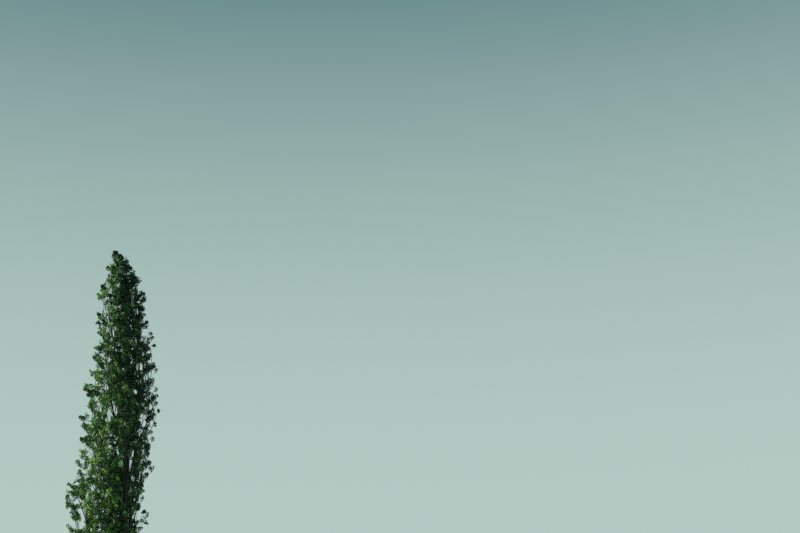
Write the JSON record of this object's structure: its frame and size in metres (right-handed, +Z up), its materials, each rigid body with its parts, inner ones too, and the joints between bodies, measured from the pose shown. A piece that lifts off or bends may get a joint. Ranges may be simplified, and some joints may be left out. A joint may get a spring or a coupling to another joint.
{
  "type": "lombardy poplar tree",
  "caption": "Tall, very narrow poplar tree: flared trunk, steep boughs and upright masses of foliage, its tip swept to one side; it stands outdoors in rows or alone.",
  "frame": {"origin": "centre of the flat cut under the trunk, at ground level", "axes": "+Z up along the trunk; the upper crown is swept towards -X; -Y faces the viewer of the picture"},
  "size_m": [3.4621, 3.1171, 24],
  "materials": {
    "bark": "rough, grey-brown, furrowed lengthwise",
    "foliage": "leaves, dark blue-green to yellow-green, slightly glossy"
  },
  "bodies": {
    "root": {"trunk": "bark", "bough_01": "bark", "bough_02": "bark", "bough_03": "bark", "bough_04": "bark", "bough_05": "bark", "bough_06": "bark", "bough_07": "bark", "bough_08": "bark", "bough_09": "bark", "bough_10": "bark", "bough_11": "bark", "bough_12": "bark", "bough_13": "bark", "bough_14": "bark", "bough_15": "bark", "bough_16": "bark", "bough_17": "bark", "bough_18": "bark", "bough_19": "bark", "bough_20": "bark", "mass_01": "foliage", "mass_02": "foliage", "mass_03": "foliage", "mass_04": "foliage", "mass_05": "foliage", "mass_06": "foliage", "mass_07": "foliage", "mass_08": "foliage", "mass_09": "foliage", "mass_10": "foliage", "mass_11": "foliage", "mass_12": "foliage", "mass_13": "foliage", "mass_14": "foliage", "mass_15": "foliage", "mass_16": "foliage", "mass_17": "foliage", "mass_18": "foliage", "mass_19": "foliage", "mass_20": "foliage", "mass_21": "foliage", "mass_22": "foliage", "mass_23": "foliage", "mass_24": "foliage", "mass_25": "foliage", "mass_26": "foliage", "mass_27": "foliage", "mass_28": "foliage", "mass_29": "foliage", "mass_30": "foliage", "mass_31": "foliage", "mass_32": "foliage", "mass_leader": "foliage"}
  },
  "joints": []
}
